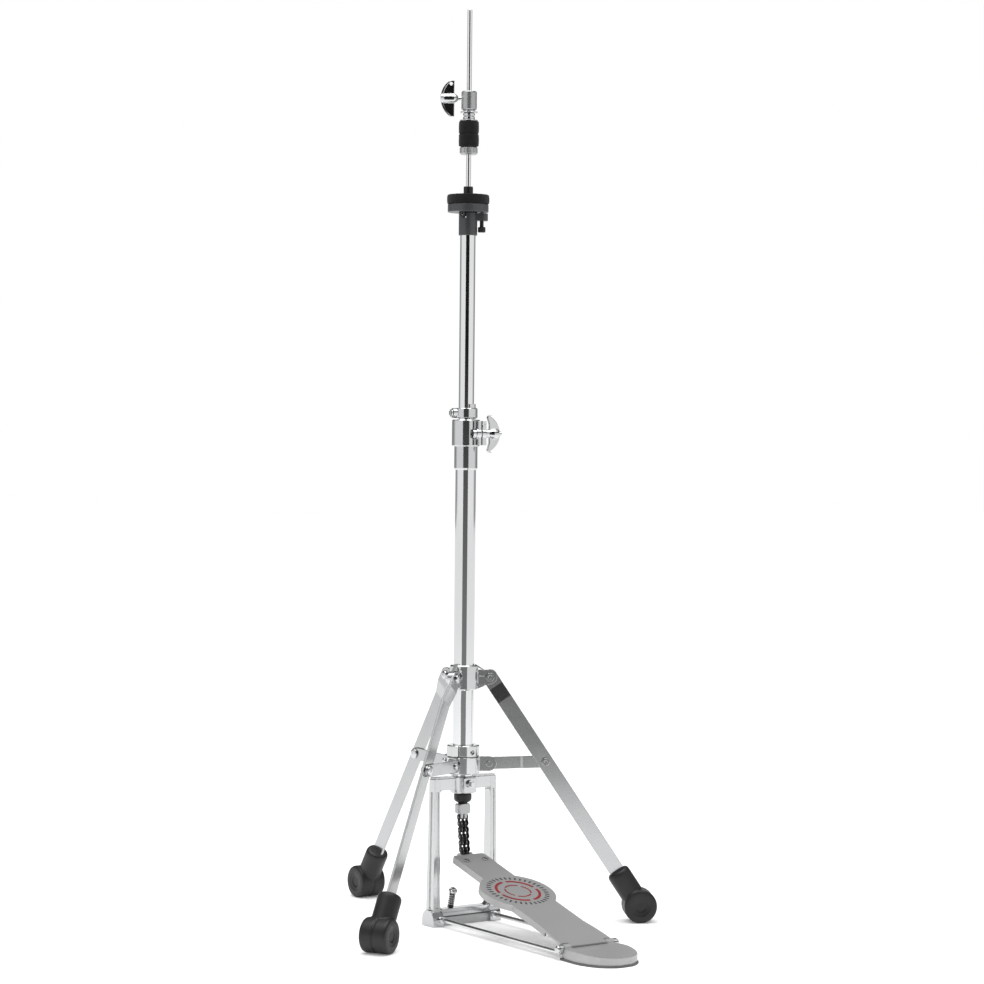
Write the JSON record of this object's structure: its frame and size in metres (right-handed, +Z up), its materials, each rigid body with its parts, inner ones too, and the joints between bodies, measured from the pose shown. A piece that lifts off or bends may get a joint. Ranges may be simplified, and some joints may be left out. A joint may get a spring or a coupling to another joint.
{
  "type": "hi-hat stand",
  "caption": "Hi-hat stand: a pedal on a chain pulls a rod through two telescoping tubes on a folding tripod; tilting felt seat below, clutch above.",
  "frame": {"origin": "on the column's axis, on the floor", "axes": "+Z up along the column, -Y towards the player and the pedal's heel, +X to the right as seen by the player"},
  "size_m": [0.43, 0.5693, 1.1185],
  "materials": {
    "chrome": "polished",
    "satin_metal": "satin",
    "dark_metal": "satin",
    "spring_steel": "satin",
    "rubber": "matte",
    "black_plastic": "matte",
    "felt": "matte",
    "white_plastic": "matte",
    "red_print": "matte"
  },
  "bodies": {
    "column": {"pedal_frame": "chrome", "key_screws": "chrome", "base_channel": "satin_metal", "lower_tube": "chrome", "tube_clamp": "chrome", "tube_bush": "white_plastic", "clamp_bolt": "chrome", "rod_guide": "white_plastic", "return_spring": "spring_steel", "radius_rods": "chrome", "heel_plate": "satin_metal", "heel_base": "rubber", "hinge_pin": "chrome", "lower_collar": "chrome", "spur_spring": "spring_steel"},
    "tripod": {"lower_hub": "chrome", "brace_pivot_bolts": "chrome"},
    "sliding_hub": {"upper_hub": "chrome", "leg_pivot_bolts": "chrome"},
    "upper_column": {"upper_tube": "chrome", "tilter_body": "dark_metal", "tilt_pin": "chrome"},
    "cymbal_seat": {"seat_disc": "dark_metal", "seat_felt": "felt", "seat_sleeve": "black_plastic"},
    "tilt_knob": {"tilt_screw": "black_plastic"},
    "memory_lock_ring": {"memory_lock": "chrome", "memory_lock_screw": "chrome"},
    "clamp_nut": {"clamp_wing_nut": "chrome"},
    "pull_rod": {"upper_rod": "chrome", "lower_rod": "chrome", "rod_coupler": "chrome", "rod_bumper": "rubber", "chain_connector": "satin_metal"},
    "chain": {"chain_plates": "spring_steel", "chain_pins": "spring_steel"},
    "pedal": {"footboard": "satin_metal", "toe_bracket": "satin_metal", "toe_screws": "chrome", "footboard_rings": "red_print"},
    "clutch": {"clutch_body": "satin_metal", "clutch_nuts": "chrome", "clutch_washers": "chrome", "clutch_felts": "felt", "clutch_bottom_nut": "satin_metal"},
    "clutch_screw": {"clutch_wing_screw": "chrome"},
    "spur": {"spur_screw": "chrome"},
    "leg_right_arm": {"leg_right": "chrome", "foot_right": "rubber", "brace_bolt_right": "chrome"},
    "brace_right_bar": {"brace_right": "chrome"},
    "leg_rear_arm": {"leg_rear": "chrome", "foot_rear": "rubber", "brace_bolt_rear": "chrome"},
    "brace_rear_bar": {"brace_rear": "chrome"},
    "leg_left_arm": {"leg_left": "chrome", "foot_left": "rubber", "brace_bolt_left": "chrome"},
    "brace_left_bar": {"brace_left": "chrome"}
  },
  "joints": [
    {"name": "tripod_swivel", "type": "hinge", "parent": "column", "child": "tripod", "pos_m": [0, 0, 0.196], "axis": [0, 0, 1], "range_deg": [-30, 30]},
    {"name": "leg_fold", "type": "slide", "parent": "tripod", "child": "sliding_hub", "axis": [0, 0, 1], "range_m": [0, 0.045]},
    {"name": "leg_right_hinge", "type": "hinge", "parent": "sliding_hub", "child": "leg_right_arm", "pos_m": [0.02771, -0.016, 0.3026], "axis": [0.5, 0.866, 0], "range_deg": [0, 5.78]},
    {"name": "brace_right_hinge", "type": "hinge", "parent": "tripod", "child": "brace_right_bar", "pos_m": [0.02771, -0.016, 0.196], "axis": [-0.5, -0.866, 0], "range_deg": [0, 32.87]},
    {"name": "leg_rear_hinge", "type": "hinge", "parent": "sliding_hub", "child": "leg_rear_arm", "pos_m": [0, 0.032, 0.3026], "axis": [-1, 0, 0], "range_deg": [0, 5.78]},
    {"name": "brace_rear_hinge", "type": "hinge", "parent": "tripod", "child": "brace_rear_bar", "pos_m": [0, 0.032, 0.196], "axis": [1, 0, 0], "range_deg": [0, 32.87]},
    {"name": "leg_left_hinge", "type": "hinge", "parent": "sliding_hub", "child": "leg_left_arm", "pos_m": [-0.02771, -0.016, 0.3026], "axis": [0.5, -0.866, 0], "range_deg": [0, 5.78]},
    {"name": "brace_left_hinge", "type": "hinge", "parent": "tripod", "child": "brace_left_bar", "pos_m": [-0.02771, -0.016, 0.196], "axis": [-0.5, 0.866, 0], "range_deg": [0, 32.87]},
    {"name": "height_slide", "type": "slide", "parent": "column", "child": "upper_column", "axis": [0, 0, 1], "range_m": [-0.13, 0]},
    {"name": "memory_lock_slide", "type": "slide", "parent": "column", "child": "memory_lock_ring", "axis": [0, 0, 1], "range_m": [0, 0.1]},
    {"name": "clamp_nut_turn", "type": "hinge", "parent": "column", "child": "clamp_nut", "pos_m": [-0.00484, -0.01941, 0.6008], "axis": [0.9703, -0.2419, 0], "range_deg": [0, 180]},
    {"name": "seat_tilt", "type": "hinge", "parent": "upper_column", "child": "cymbal_seat", "pos_m": [-0.00629, 0.00409, 0.8685], "axis": [-0.5446, -0.8387, 0], "range_deg": [0, 2.4]},
    {"name": "tilt_screw_turn", "type": "hinge", "parent": "upper_column", "child": "tilt_knob", "pos_m": [0.01405, -0.00912, 0.859], "axis": [0, 0, 1], "range_deg": [0, 362]},
    {"name": "pedal_hinge", "type": "hinge", "parent": "column", "child": "pedal", "pos_m": [0, -0.256, 0.0125], "axis": [-1, 0, 0], "range_deg": [0, 7], "stiffness_Nm_per_rad": 20, "springref_deg": -12.89},
    {"name": "pull_rod_slide", "type": "slide", "parent": "column", "child": "pull_rod", "axis": [0, 0, 1], "range_m": [-0.03141, 0], "deforming": ["return_spring"]},
    {"name": "chain_swing", "type": "hinge", "parent": "pull_rod", "child": "chain", "pos_m": [0, 0, 0.1305], "axis": [1, 0, 0], "range_deg": [0, 8.18]},
    {"name": "clutch_slide", "type": "slide", "parent": "pull_rod", "child": "clutch", "axis": [0, 0, 1], "range_m": [-0.006, 0.09]},
    {"name": "clutch_screw_turn", "type": "hinge", "parent": "clutch", "child": "clutch_screw", "pos_m": [0, 0, 1.0099], "axis": [-0.829, 0.5592, 0], "range_deg": [0, 360]},
    {"name": "spur_slide", "type": "slide", "parent": "column", "child": "spur", "axis": [0, -0.2419, 0.9703], "range_m": [0, 0.003]}
  ],
  "couplings": [
    {"joint": "leg_right_hinge", "follows": "leg_fold", "rad_per_m": 2.2216},
    {"joint": "brace_right_hinge", "follows": "leg_fold", "rad_per_m": 12.711},
    {"joint": "leg_rear_hinge", "follows": "leg_fold", "rad_per_m": 2.2216},
    {"joint": "brace_rear_hinge", "follows": "leg_fold", "rad_per_m": 12.711},
    {"joint": "leg_left_hinge", "follows": "leg_fold", "rad_per_m": 2.2216},
    {"joint": "brace_left_hinge", "follows": "leg_fold", "rad_per_m": 12.711},
    {"joint": "tilt_screw_turn", "follows": "seat_tilt", "ratio": 150},
    {"joint": "pull_rod_slide", "follows": "pedal_hinge", "m_per_rad": -0.25382},
    {"joint": "chain_swing", "follows": "pedal_hinge", "ratio": 1.1467}
  ]
}
